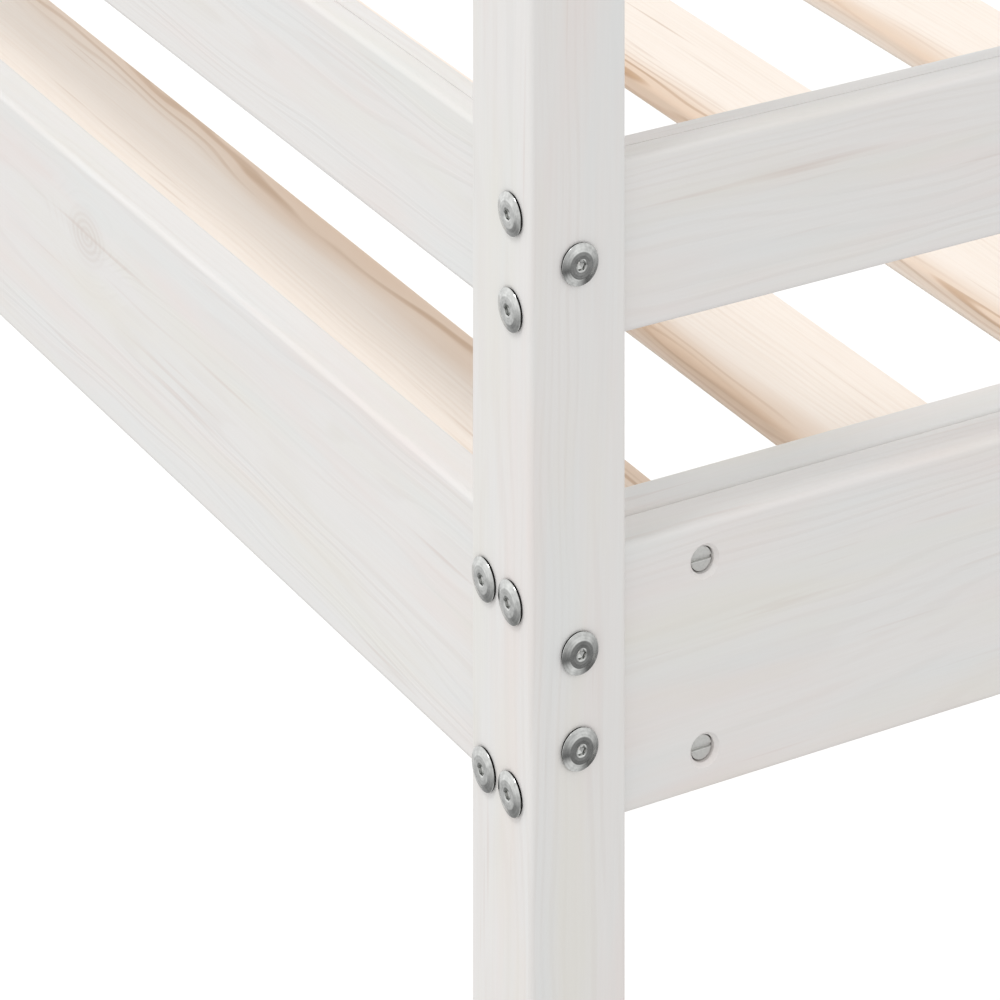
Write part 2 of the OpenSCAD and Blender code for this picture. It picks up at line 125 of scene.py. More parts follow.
class FittingSettings(bpy.types.PropertyGroup):
    """Sizes and colours of the bolts, nuts, screws, hooks and feet."""
    bolt_d: size("Bolt diameter", "Diameter of the connector bolt's shank", 6)
    head_d: size("Head diameter", "Outer diameter of the bolt's flat head", 17)
    head_flat_d: size("Head flat", "Diameter of the flat on top of the head", 11)
    head_h: size("Head height", "Height of the bolt's head above the timber", 2.3)
    socket: size("Socket", "Hexagon socket across its flats", 4)
    wide_spread: size("Side rail bolts", "Bolt's height above or below a side rail's middle", 38)
    narrow_spread: size("Other rail bolts", "Bolt's height above or below any other rail's middle", 19)
    nut_d: size("Nut diameter", "Diameter of the barrel nut", 10)
    nut_l: size("Nut length", "Length of the barrel nut", 13)
    nut_sink: size("Nut depth", "Depth of the nut's slotted face below the timber", 2.5)
    nut_in: size("Nut distance", "Distance from a rail's end to its barrel nut", 40)
    slot_w: size("Slot width", "Width of the screwdriver slot in the nut", 1.4)
    slot_h: size("Slot depth", "Depth of the screwdriver slot in the nut", 1.2)
    tool_pitch: size("Turning marks", "Distance between the circles that turning leaves on metal", 1.2)
    screw_head_d: size("Screw head", "Diameter of a wood screw's countersunk head", 8)
    screw_d: size("Screw shank", "Diameter of a wood screw's shank", 4)
    stile_bolt: size("Stile bolt", "Shank length of the bolts through the guards into their stile", 34)
    slat_screw: size("Slat screw", "Length of the screws through the slats", 26)
    ledger_screw: size("Ledger screw", "Length of the screws through the ledgers", 32)
    tread_screw: size("Tread screw", "Length of the screws through the ladder's stiles", 50)
    hook_screw: size("Hook screw", "Length of the screws through the ladder's hooks", 25)
    glide_d: size("Glide", "Diameter of the nylon glide under a post", 32)
    hook_t: size("Hook thickness", "Thickness of the ladder hooks' flat bar", 4)
    hook_bend: size("Hook bend", "Radius of the ladder hooks' bends, at the middle of the bar", 5)
    # Rim gap: height of the bolt head's undercut, which is real geometry, and of the band there that the zinc
    # finish colours near black as painted shade.
    rim_gap: size("Rim gap", "Height of the dark gap under the rim of a bolt's head", 0.95)
    hook_screw_low: size("Lower hook screw", "Its distance up the hook's long leg", 18)
    hook_screw_high: size("Upper hook screw", "Its distance up the hook's long leg", 60)
    pad_round: size("Pad corner", "Rounding of a ladder pad's upright edges", 2.5)
    pad_ease: size("Pad edge", "Rounding of a ladder pad's top and bottom edges", 0.8)
    # Painted shade: near-black colour laid on the undercut under each bolt's rim, standing in for the shadow in
    # that gap.
    rim_painted_shade: colour("Rim shadow", "Dark of the gap under a bolt's rim", "171717")
    zinc: colour("Zinc plating", "Bright zinc on the bolts and screws", "c9cac8")
    alloy: colour("Zinc alloy", "Dull zinc of the barrel nuts", "dcdcd9")
    hook_paint: colour("Hook paint", "Powder coat on the ladder hooks", "b9bab8")
    nylon: colour("Glides", "Nylon of the glides", "77736e")
    rubber: colour("Ladder pads", "Rubber of the ladder's pads", "4a4846")


class StageSettings(bpy.types.PropertyGroup):
    """Camera, floor and lights."""
    turn: angle("Camera turn", "Turn of the view from straight along the bed's width", 27.95)
    out: number("Camera out", "Distance beside the corner post, in post widths", 23.05)
    back: number("Camera back", "Distance before the corner post, in post widths", 36.95)
    above: number("Camera above", "Height above the upper rails, in post widths", 22.51)
    aside: number("Aim aside", "Sideways slope of the line of sight", 0.0639)
    down: number("Aim down", "Downward slope of the line of sight", 0.5025)
    zoom: number("Zoom", "Lens length over sensor width, for a line of sight square to the picture", 4.961)
    floor_size: FloatProperty(name="Floor size", description="Side of the square floor", default=60,
                              unit="LENGTH")
    nadir: number("Light from below", "Brightness of the room straight below", 0.42)
    horizon: number("Side light", "Brightness of the room at eye level", 1.18)
    zenith: number("Overhead light", "Brightness of the room overhead", 0.7)
    key: number("Key light", "Strength of the soft main light", 0.94)
    key_height: angle("Key height", "Height of the main light over the horizon", 65)
    key_turn: angle("Key turn", "Turn of the main light from the left end to the front", 2)
    key_spread: angle("Key softness", "Angle that the main light fills", 15)
    floor: colour("Floor", "Matt white floor", "fcfcfb")


# ---------------------------------------------------------------------------------------------- mesh tools

def loft(rings):
    """Closed skin through a stack of rings, an array (stations, points, 3): quads join each ring to the next,
    and one flat face closes each end. Seen along the way of travel the points run clockwise."""
    stations, count = rings.shape[:2]
    rows = np.arange(stations - 1)[:, None] * count
    here = np.arange(count)[None, :]
    ahead = (here + 1) % count
    quads = np.stack([rows + here, rows + ahead, rows + ahead + count, rows + here + count], -1)
    first = list(range(count))[::-1]
    last = list(range((stations - 1) * count, stations * count))
    return rings.reshape(-1, 3), quads.reshape(-1, 4).tolist() + [first, last]


def joined(shapes):
    """Several shapes as one: the points are stacked, and each shape's face indices are shifted past the
    points before it."""
    points = np.vstack([p for p, f in shapes])
    starts = np.cumsum([0] + [len(p) for p, f in shapes[:-1]])
    faces = [[int(i) + int(start) for i in face] for start, (p, f) in zip(starts, shapes) for face in f]
    return points, faces


def placed(shape, matrix):
    """A shape with a 4 by 4 matrix applied to its points."""
    points, faces = shape
    turn = np.array(matrix.to_3x3())
    return points @ turn.T + np.array(matrix.translation), faces


def basis(x, y, z, origin):
    """Matrix whose columns are the given axes and origin."""
    m = Matrix.Identity(4)
    for column, axis in enumerate((x, y, z, origin)):
        for row in range(3):
            m[row][column] = axis[row]
    return m


def outline(w, h, r, steps, groove=0, depth=0):
    """Rounded rectangle w by h, anticlockwise: each corner is a quarter circle of radius r about a centre
    that is r in from both sides. A V of the given width and depth may cross the middle of the sides at
    +h / 2 and -h / 2."""
    turn = np.linspace(0, math.pi / 2, steps + 1)
    corner = np.vstack([[r, -HOLD], np.stack([np.cos(turn), np.sin(turn)], 1) * r, [-HOLD, r]])
    points = []
    for k in range(4):
        c, s = round(math.cos(k * math.pi / 2)), round(math.sin(k * math.pi / 2))
        centre = np.array([c - s, c + s]) * [w / 2 - r, h / 2 - r]
        points.append(corner @ np.array([[c, s], [-s, c]]) + centre)
        if groove and k in (0, 2):
            side = 1 if k == 0 else -1
            points.append(side * np.array([[groove / 2, h / 2], [0, h / 2 - depth], [-groove / 2, h / 2]]))
    return np.vstack(points)


def beam(w, h, r, length, ease, slope=0.0, steps=6, groove=0, depth=0):
    """Board along Z: a rounded rectangle carried from 0 to length, drawn in by a quarter round of radius ease
    at both ends. With a slope its middle line moves along Y by slope times the height."""
    turn = np.linspace(0, math.pi / 2, 4)
    near = np.append(ease * (1 - np.cos(turn)), ease + HOLD)
    inset = np.append(ease * (1 - np.sin(turn)), 0)
    along = np.append(near, length - near[::-1])
    insets = np.append(inset, inset[::-1])
    rings = []
    for z, cut in zip(along, insets):
        flat = outline(w - 2 * cut, h - 2 * cut, max(r - cut, r / 4), steps, groove, depth)
        rings.append(np.column_stack([flat[:, 0], flat[:, 1] + slope * z, np.full(len(flat), z)]))
    return loft(np.array(rings))


def board(low, high, run, r, ease, groove=0, depth=0):
    """Board that fills the box from low to high and runs along X, Y or Z."""
    low, high = np.array(low), np.array(high)
    axes = np.array(RUNS[run], float)
    w, h, length = np.abs(axes @ (high - low))
    start = (low + high) / 2 - axes[2] * length / 2
    return placed(beam(w, h, r, length, ease, groove=groove, depth=depth), basis(*axes, start))


def circle(angles):
    """Radius 1 all round."""
    return np.ones_like(angles)


def hexagon(angles):
    """Radius of a hexagon 2 across its flats: 1 over the cosine of the angle from the nearest flat's
    middle."""
    sixth = math.pi / 3
    return 1 / np.cos((angles + sixth / 2) % sixth - sixth / 2)


def star(angles):
    """Radius of a six-lobed socket: 1 plus a cosine that repeats six times."""
    return 1 + 0.16 * np.cos(6 * angles)


def turned(profile, steps=72):
    """Turned part about Z. The profile lists (radius, height) or (radius, height, shape) from the middle of
    the top outwards and down. Each entry is one ring, whose radius is multiplied by its shape at that
    angle."""
    angles = -np.linspace(0, 2 * math.pi, steps, endpoint=False)
    rings = []
    for radius, height, *shape in profile:
        reach = radius * (shape[0] if shape else circle)(angles)
        level = np.full(steps, height)
        rings.append(np.column_stack([reach * np.cos(angles), reach * np.sin(angles), level]))
    return loft(np.array(rings))


def bent(corners, radius, steps=6):
    """Path through the corners, each inner one replaced by an arc of the given radius that touches both legs:
    the arc starts radius times the tangent of half the turn before the corner."""
    corners = np.array(corners, float)
    path = [corners[0]]
    for before, here, after in zip(corners, corners[1:], corners[2:]):
        a = (here - before) / np.linalg.norm(here - before)
        b = (after - here) / np.linalg.norm(after - here)
        turn = math.atan2(a[0] * b[1] - a[1] * b[0], a @ b)
        side = np.array([-a[1], a[0]]) * math.copysign(1, turn)
        start = here - a * radius * math.tan(abs(turn) / 2)
        for t in np.linspace(0, abs(turn), steps + 1):
            path.append(start + side * radius * (1 - math.cos(t)) + a * radius * math.sin(t))
    path.append(corners[-1])
    return np.array(path)


def strap(path, width, thick, r):
    """Flat bar along a path in the YZ plane: a rounded rectangle, width along X, set square to the path."""
    way = np.gradient(path, axis=0)
    way /= np.linalg.norm(way, axis=1)[:, None]
    flat = outline(width, thick, r, 3)
    rings = np.empty((len(path), len(flat), 3))
    rings[:, :, 0] = flat[:, 0]
    rings[:, :, 1] = path[:, None, 0] + flat[:, 1] * way[:, 1:2]
    rings[:, :, 2] = path[:, None, 1] - flat[:, 1] * way[:, 0:1]
    return loft(rings)


def drilled(piece, shape):
    """Cuts a shape out of a piece with an exact Boolean and keeps the result as the piece's own mesh."""
    cutter = bpy.data.objects.new("cutter", to_mesh("cutter", shape))
    bpy.context.scene.collection.objects.link(cutter)
    cut = piece.modifiers.new("holes", "BOOLEAN")
    cut.operation = "DIFFERENCE"
    cut.solver = "EXACT"
    cut.object = cutter
    mesh = bpy.data.meshes.new_from_object(piece.evaluated_get(bpy.context.evaluated_depsgraph_get()))
    piece.modifiers.clear()
    piece.data = mesh
    bpy.data.objects.remove(cutter)


def to_mesh(name, shape):
    """A new mesh from a shape's points and faces."""
    points, faces = shape
    mesh = bpy.data.meshes.new(name)
    mesh.from_pydata(points.tolist(), [], faces)
    mesh.update()
    return mesh


def make_piece(name, shape, finish, body, *nodes, holes=None):
    """One finished object: its mesh, holes, shading and finish, and the CAD nodes that it stands for."""
    piece = bpy.data.objects.new(name, to_mesh(name, shape))
    bpy.context.scene.collection.objects.link(piece)
    if holes:
        drilled(piece, joined(holes))
    piece.data.shade_smooth()
    piece.data.set_sharp_from_angle(angle=math.radians(35))
    piece.data.materials.clear()
    piece.data.materials.append(finished(finish))
    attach(piece, body)
    if nodes:
        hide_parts(*nodes)
    return piece


def vectors(piece, name, values):
    """Stores one vector for each vertex under the given attribute name."""
    layer = piece.data.attributes.new(name, "FLOAT_VECTOR", "POINT")
    layer.data.foreach_set("vector", np.ascontiguousarray(values, dtype=np.float32).ravel())


def vertices(piece):
    """The piece's vertices as an array."""
    flat = np.empty(3 * len(piece.data.vertices), np.float32)
    piece.data.vertices.foreach_get("co", flat)
    return flat.reshape(-1, 3).astype(float)


def grain_of(points, axes, seed, pith=None, knot=None):
    """Two vectors for each point, in millimetres. The first is the place along the fibres, across the wide
    face and through the board, measured from a pith line beside it that drifts slowly along it. The second
    is the way from the board's knot. Both are straight-line functions of the place."""
    rng = np.random.default_rng(seed)
    axes = np.array(axes, float)
    local = (points - (points.min(0) + points.max(0)) / 2) @ axes.T / MM
    along = local[:, 2]
    wide = 0 if np.ptp(local[:, 0]) > np.ptp(local[:, 1]) else 1
    across, through = local[:, wide], local[:, 1 - wide]
    drift = rng.uniform(-0.02, 0.02, 2)
    offset = pith or (rng.uniform(-60, 60), rng.uniform(25, 70))
    start = rng.uniform(0, 4000)
    grain = np.column_stack([along + start, across - offset[0] - drift[0] * along,
                             through - offset[1] - drift[1] * along])
    place = knot or (rng.uniform(-0.45, 0.45) * np.ptp(along), rng.uniform(-0.35, 0.35) * np.ptp(across))
    return grain, np.column_stack([along - place[0], across - place[1], through])


# ----------------------------------------------------------------------------------------------- materials

def add(tree, kind, inputs=None, **settings):
    """Adds one node. An input is a plain value, a socket, or a node, whose first output is then used."""
    made = tree.nodes.new("ShaderNode" + kind)
    for key, value in settings.items():
        setattr(made, key, value)
    for key, value in (inputs or {}).items():
        if isinstance(value, bpy.types.Node):
            value = value.outputs[0]
        if isinstance(value, bpy.types.NodeSocket):
            tree.links.new(value, made.inputs[key])
        else:
            made.inputs[key].default_value = value
    return made


def new_material(name):
    """An empty node material and its tree."""
    material = bpy.data.materials.new(name)
    material.use_nodes = True
    material.node_tree.nodes.clear()
    return material, material.node_tree


def surface(tree, inputs):
    """Ends a material in one Principled shader."""
    shader = add(tree, "BsdfPrincipled", inputs)
    add(tree, "OutputMaterial", {"Surface": shader})


def rgba(value, part=1):
    """A node's colour: each channel of the value times part, with full opacity."""
    return (*(channel * part for channel in value), 1)


def mixed(tree, factor, a, b):
    """Colour between a and b."""
    return add(tree, "Mix", {0: factor, 6: a, 7: b}, data_type="RGBA").outputs[2]


def stretched_noise(tree, place, cell, detail, output=0):
    """Noise whose cells are cell = (along, across, through) millimetres long. Output 1 is its colour."""
    vector = add(tree, "VectorMath", {0: place, 1: tuple(1 / c for c in cell)}, operation="MULTIPLY")
    return add(tree, "TexNoise", {"Vector": vector, "Scale": 1, "Detail": detail}).outputs[output]


def in_millimetres(tree):
    """The place on the object, in millimetres."""
    place = add(tree, "TexCoord").outputs["Object"]
    return add(tree, "VectorMath", {0: place, 1: (1 / MM,) * 3}, operation="MULTIPLY")


def grained(name, tint, part, cell, detail, relief, roughness, metallic=0):
    """A plain finish with a fine grain: noise whose cells are cell millimetres long mixes the tint with part
    times the tint, and raises the surface by relief."""
    material, tree = new_material(name)
    grit = stretched_noise(tree, in_millimetres(tree), (cell,) * 3, detail)
    base = mixed(tree, grit, rgba(tint), rgba(tint, part))
    bump = add(tree, "Bump", {"Height": grit, "Strength": relief, "Distance": 0.1 * MM})
    surface(tree, {"Base Color": base, "Metallic": metallic, "Roughness": roughness, "Normal": bump})
    return material


def pine(tree, timber):
    """Growth rings, fibres, tints, resin streaks and knot of one board. The rings are circles about the pith,
    bent by slow noise and pushed aside round the knot. Late wood is the narrow dark part of each ring."""
    grain = add(tree, "Attribute", attribute_name="grain").outputs["Vector"]
    knot = add(tree, "Attribute", attribute_name="knot").outputs["Vector"]
    flat = add(tree, "VectorMath", {0: grain, 1: (0, 1, 1)}, operation="MULTIPLY")
    from_pith = add(tree, "VectorMath", {0: flat}, operation="LENGTH").outputs["Value"]
    on_face = add(tree, "VectorMath", {0: knot, 1: (0.7, 1, 0)}, operation="MULTIPLY")
    from_knot = add(tree, "VectorMath", {0: on_face}, operation="LENGTH").outputs["Value"]
    near_knot = add(tree, "MapRange", {"Value": from_knot, "From Min": timber.knot_radius * 2.6 / MM,
                                       "From Max": 0.0}, interpolation_type="SMOOTHSTEP").outputs[0]
    slow = stretched_noise(tree, grain, (260, 42, 42), 2)
    bend = add(tree, "Math", {0: slow, 1: 26, 2: -13}, operation="MULTIPLY_ADD")
    pushed = add(tree, "Math", {0: near_knot, 1: 14, 2: bend}, operation="MULTIPLY_ADD")
    distance = add(tree, "Math", {0: from_pith, 1: pushed}, operation="ADD")
    phase = add(tree, "Math", {0: distance, 1: 2 * math.pi * MM / timber.ring_pitch}, operation="MULTIPLY")
    wave = add(tree, "Math", {0: phase}, operation="SINE")
    late = add(tree, "MapRange", {"Value": wave, "From Min": -0.1, "From Max": 1.0},
               interpolation_type="SMOOTHSTEP").outputs[0]
    uneven = stretched_noise(tree, grain, (500, 12, 12), 2)
    strength = add(tree, "MapRange", {"Value": uneven, "From Min": 0.4, "From Max": 0.62}).outputs[0]
    rings = add(tree, "Math", {0: late, 1: strength}, operation="MULTIPLY").outputs[0]
    fibre = stretched_noise(tree, grain, (60, 1.2, 1.2), 3)
    patches = stretched_noise(tree, grain, (150, 22, 22), 3, 1)
    resin = add(tree, "MapRange", {"Value": stretched_noise(tree, grain, (170, 5, 5), 2), "From Min": 0.66,
                                   "From Max": 0.8}).outputs[0]
    return {"distance": distance.outputs[0], "rings": rings, "fibre": fibre, "patches": patches,
            "resin": resin, "from_knot": from_knot}


def knot_shade(tree, wood, timber, core):
    """1 in the knot's middle, fading out with faint circles by its rim."""
    radius = timber.knot_radius / MM
    inside = add(tree, "MapRange", {"Value": wood["from_knot"], "From Min": radius * 1.25,
                                    "From Max": radius * core}, interpolation_type="SMOOTHSTEP").outputs[0]
    rounds = add(tree, "Math", {0: add(tree, "Math", {0: wood["from_knot"], 1: 2.1}, operation="MULTIPLY")},
                 operation="SINE")
    ripple = add(tree, "Math", {0: rounds, 1: 0.3, 2: 0.6}, operation="MULTIPLY_ADD")
    return add(tree, "Math", {0: inside, 1: ripple}, operation="MULTIPLY").outputs[0]


def washed_pine():
    """Whitewashed pine, planed, washed white and waxed: an even warm white with soft rosy, straw and cool
    patches, under which late wood, fibres, resin and a knot only just show, and a low satin sheen."""
    timber = bpy.context.scene.bunk_timber
    material, tree = new_material("planed_washed_pine")
    wood = pine(tree, timber)
    shade = rgba(timber.washed_shade)
    streak = add(tree, "MapRange", {"Value": wood["fibre"], "From Min": 0.35, "From Max": 0.75}).outputs[0]
    lines = add(tree, "Math", {0: wood["rings"], 1: 0.15}, operation="MULTIPLY")
    veil = add(tree, "Math", {0: streak, 1: 0.1, 2: lines}, operation="MULTIPLY_ADD")
    colour_now = mixed(tree, veil, rgba(timber.washed), shade)
    channels = add(tree, "SeparateColor", {0: wood["patches"]}).outputs
    for channel, tone in zip(channels, (timber.rosy, timber.straw, timber.cool)):
        much = add(tree, "MapRange", {"Value": channel, "From Min": 0.48, "From Max": 0.7, "To Max": 0.5})
        colour_now = mixed(tree, much.outputs[0], colour_now, rgba(tone))
    pitch = add(tree, "Math", {0: wood["resin"], 1: 0.3}, operation="MULTIPLY").outputs[0]
    colour_now = mixed(tree, pitch, colour_now, rgba(timber.resin))
    knot = knot_shade(tree, wood, timber, 0.5)
    spot = add(tree, "Math", {0: knot, 1: 0.5}, operation="MULTIPLY").outputs[0]
    colour_now = mixed(tree, spot, colour_now, shade)
    height = add(tree, "Math", {0: wood["fibre"], 1: 0.7, 2: wood["rings"]}, operation="MULTIPLY_ADD")
    bump = add(tree, "Bump", {"Height": height, "Strength": 0.22, "Distance": 0.25 * MM})
    gloss = add(tree, "MapRange", {"Value": wood["fibre"], "To Min": 0.46, "To Max": 0.6}).outputs[0]
    surface(tree, {"Base Color": colour_now, "Roughness": gloss, "Specular IOR Level": 0.35, "Normal": bump})
    return material


def bare_pine():
    """Bare pine, planed and left unfinished: cream sapwood that turns tan towards the pith, where the late
    wood draws brown lines, and a dry matt face."""
    timber = bpy.context.scene.bunk_timber
    material, tree = new_material("planed_bare_pine")
    wood = pine(tree, timber)
    heart = add(tree, "MapRange", {"Value": wood["distance"], "From Min": 26, "From Max": 6},
                interpolation_type="SMOOTHSTEP").outputs[0]
    ground = mixed(tree, heart, rgba(timber.cream), rgba(timber.tan))
    weight = add(tree, "Math", {0: heart, 1: 0.72, 2: 0.08}, operation="MULTIPLY_ADD")
    lines = add(tree, "Math", {0: wood["rings"], 1: weight}, operation="MULTIPLY")
    ringed = mixed(tree, lines, ground, rgba(timber.late))
    streak = add(tree, "MapRange", {"Value": wood["fibre"], "From Min": 0.4, "From Max": 0.8, "To Max": 0.16})
    final = mixed(tree, streak.outputs[0], ringed, rgba(timber.tan))
    pitch = add(tree, "Math", {0: wood["resin"], 1: 0.5}, operation="MULTIPLY").outputs[0]
    final = mixed(tree, pitch, final, rgba(timber.late))
    height = add(tree, "Math", {0: wood["fibre"], 1: 0.6, 2: wood["rings"]}, operation="MULTIPLY_ADD")
    bump = add(tree, "Bump", {"Height": height, "Strength": 0.25, "Distance": 0.25 * MM})
    surface(tree, {"Base Color": final, "Roughness": 0.62, "Normal": bump})
    return material


def beech():
    """Turned beech dowel: pinkish tan with short dark flecks."""
    timber = bpy.context.scene.bunk_timber
    material, tree = new_material("turned_beech")
    fleck = stretched_noise(tree, in_millimetres(tree), (1.5, 1.5, 1.5), 2)
    base = mixed(tree, fleck, rgba(timber.beech), rgba(timber.beech, 0.7))
    surface(tree, {"Base Color": base, "Roughness": 0.6})
    return material


def zinc_plate():
    """Bright zinc-plated steel, turned: a grey metal with faint circles from the tool, drawn coarse enough to
    show, cloudy plating, and painted shade, near black, in the gap under the rim of a bolt's head."""
    fitting = bpy.context.scene.bunk_fitting
    material, tree = new_material("turned_zinc_plate")
    turning = add(tree, "Attribute", attribute_name="turning").outputs["Vector"]
    flat = add(tree, "VectorMath", {0: turning, 1: (1, 1, 0)}, operation="MULTIPLY")
    radius = add(tree, "VectorMath", {0: flat}, operation="LENGTH").outputs["Value"]
    phase = add(tree, "Math", {0: radius, 1: 2 * math.pi * MM / fitting.tool_pitch}, operation="MULTIPLY")
    circles = add(tree, "Math", {0: phase}, operation="SINE").outputs[0]
    cloud = stretched_noise(tree, in_millimetres(tree), (2.2, 2.2, 2.2), 3)
    patchy = add(tree, "MapRange", {"Value": cloud, "From Min": 0.3, "From Max": 0.7}).outputs[0]
    marked = add(tree, "Math", {0: circles, 1: 0.07, 2: patchy}, operation="MULTIPLY_ADD").outputs[0]
    base = mixed(tree, marked, rgba(fitting.zinc), rgba(fitting.zinc, 0.7))
    # Painted shade: points low in the undercut band of a bolt's head, out near its rim, take the near-black
    # colour in place of the shadow there.
    height = add(tree, "SeparateXYZ", {0: turning}).outputs["Z"]
    low = add(tree, "Math", {0: height, 1: 0, 2: fitting.rim_gap / MM}, operation="COMPARE")
    wide = add(tree, "Math", {0: radius, 1: 0.7 * fitting.head_d / 2 / MM}, operation="GREATER_THAN")
    gap = add(tree, "Math", {0: low, 1: wide}, operation="MULTIPLY").outputs[0]
    final = mixed(tree, gap, base, rgba(fitting.rim_painted_shade))
    dull = add(tree, "MapRange", {"Value": cloud, "To Min": 0.08, "To Max": 0.24}).outputs[0]
    bump = add(tree, "Bump", {"Height": circles, "Strength": 0.06, "Distance": 0.1 * MM})
    surface(tree, {"Base Color": final, "Metallic": 1.0, "Roughness": dull, "Normal": bump})
    return material


def zinc_alloy():
    """Die-cast zinc alloy, tumbled: pale, dull grey with a fine grit and hardly any shine."""
    tint = bpy.context.scene.bunk_fitting.alloy
    return grained("cast_zinc_alloy", tint, 0.72, 1.1, 2, relief=0.3, roughness=0.4, metallic=0.3)


def powder_coat():
    """Flat steel bar, bent and powder coated: even light grey with a fine orange peel."""
    tint = bpy.context.scene.bunk_fitting.hook_paint
    return grained("powder_coated_steel", tint, 0.9, 1.2, 1, relief=0.25, roughness=0.42)


def nylon():
    """Moulded nylon: a soft grey plastic with a slight graining from the mould."""
    tint = bpy.context.scene.bunk_fitting.nylon
    return grained("moulded_nylon", tint, 0.85, 0.8, 1, relief=0.2, roughness=0.4)


def rubber():
    """Moulded rubber: dark, dull and finely pitted, with the pits' rims a little lighter."""
    tint = bpy.context.scene.bunk_fitting.rubber
    return grained("moulded_rubber", tint, 1.4, 1, 2, relief=0.4, roughness=0.78)


# Each finish: the record's slot that it belongs to, and the function that makes it.
FINISHES = {
    "planed_washed_pine": ("whitewashed_pine", washed_pine),
    "planed_bare_pine": ("bare_pine", bare_pine),
    "turned_beech": ("beech_dowel", beech),
    "turned_zinc_plate": ("zinc_plated_steel", zinc_plate),
    "cast_zinc_alloy": ("zinc_plated_steel", zinc_alloy),
    "powder_coated_steel": ("painted_hook_steel", powder_coat),
    "moulded_nylon": ("nylon_glide", nylon),
    "moulded_rubber": ("rubber_pad", rubber),
}


def finished(finish):
    """The material of that finish, made the first time it is asked for."""
    return bpy.data.materials.get(finish) or FINISHES[finish][1]()


# ------------------------------------------------------------------------------------------ parts of the bed

def centre(node):
    """Middle of a CAD node's box."""
    low, high = (Vector(v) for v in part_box(node))
    return (low + high) / 2


def rail_table(fitting):
    """Every rail that is bolted between posts: its node, its run, its bolts' heights from its middle, the way
    that its nuts face, and the ends that have a post."""
    table = []
    for level in LEVELS:
        for side, out in zip(SIDES, (-1, 1)):
            spread = (-fitting.wide_spread, fitting.wide_spread)
            table.append((f"{level}_{side}_rail_outer", "X", spread, out, ENDS))
            table.append((f"{level}_{side}_rail_inner", "X", spread, -out, ENDS))
        for end, out in zip(ENDS, (-1, 1)):
            spread = (-fitting.narrow_spread, fitting.narrow_spread)
            table.append((f"{level}_{end}_end_rail", "Y", spread, -out, SIDES))
    for end, out in zip(ENDS, (-1, 1)):
        for node in (f"{end}_guard_low", f"{end}_guard_high", f"lower_{end}_head_rail"):
            table.append((node, "Y", (0,), -out, SIDES))
    for height in ("low", "high"):
        spread = (-fitting.narrow_spread, fitting.narrow_spread)
        table.append((f"back_guard_{height}", "X", spread, -1, ENDS))
        table.append((f"front_guard_{height}", "X", spread, 1, ENDS[:1]))
    return table


def rail_ends(ends):
    """For each end of a rail that meets a post: the way from the rail to the post, +1 or -1 along its run."""
    return [1 if end in ("right", "back") else -1 for end in ends]


def facing(out, along, spot):
    """Matrix of a fitting at a spot: its Z points out of the timber and its X lies along."""
    out, along = Vector(out), Vector(along)
    return basis(along, out.cross(along), out, spot)


def nut_places(fitting, wanted):
    """For each rail along the wanted run, the matrices of its barrel nuts, X along the rail."""
    places = {}
    for node, run, heights, face, ends in rail_table(fitting):
        if run != wanted:
            continue
        low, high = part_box(node)
        along, across = "XYZ".index(run), 1 - "XYZ".index(run)
        out, length = Vector((0, 0, 0)), Vector((0, 0, 0))
        out[across] = face
        length[along] = 1
        for way in rail_ends(ends):
            for height in heights:
                spot = centre(node)
                spot[along] = (high if way > 0 else low)[along] - way * fitting.nut_in
                spot[across] = (high if face > 0 else low)[across]
                spot.z += height
                places.setdefault(node, []).append(facing(out, length, spot))
    return places


def bolt_places(fitting, wanted):
    """Matrices of the connector bolts into the rails along the wanted run, on the post's far face."""
    post_low, post_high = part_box("post_front_left")
    places = []
    for node, run, heights, _, ends in rail_table(fitting):
        if run != wanted:
            continue
        low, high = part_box(node)
        along = "XYZ".index(run)
        for way in rail_ends(ends):
            out = Vector((0, 0, 0))
            out[along] = way
            for height in heights:
                spot = centre(node)
                spot[along] = (high if way > 0 else low)[along] + way * (post_high[0] - post_low[0])
                spot.z += height
                places.append(facing(out, (0, 0, 1), spot))
    return places


def stile_bolt_places(fitting):
    """Matrices of the bolts through the front guards into their stile, and the matrix of the long one that
    comes up through the inner side rail."""
    x = centre("guard_stile").x
    places = []
    for node in ("front_guard_low", "front_guard_high"):
        for height in (-fitting.narrow_spread, fitting.narrow_spread):
            spot = (x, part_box(node)[0][1], centre(node).z + height)
            places.append(facing((0, -1, 0), (0, 0, 1), spot))
    foot = facing((0, 0, -1), (1, 0, 0), (x, centre("guard_stile").y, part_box("upper_front_rail_inner")[0][2]))
    return places, foot


def stile_nut_places(fitting):
    """The nut of the stile's long bolt, in the stile's inner face."""
    low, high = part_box("guard_stile")
    return [facing((0, 1, 0), (0, 0, 1), (centre("guard_stile").x, high[1], low[2] + fitting.nut_in))]


def slat_middles(timber, node):
    """X of each slat's middle line: equal steps between the first and the last."""
    low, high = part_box(node)
    half = timber.slat_width / 2
    return np.linspace(low[0] + half, high[0] - half, timber.slat_count)


def lean_line(node, lean):
    """For a leaning ladder stile: its depth along Y, and the Y of its middle line at its foot."""
    low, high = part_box(node)
    depth = high[1] - low[1] - (high[2] - low[2]) * math.tan(lean)
    return depth, low[1] + depth / 2


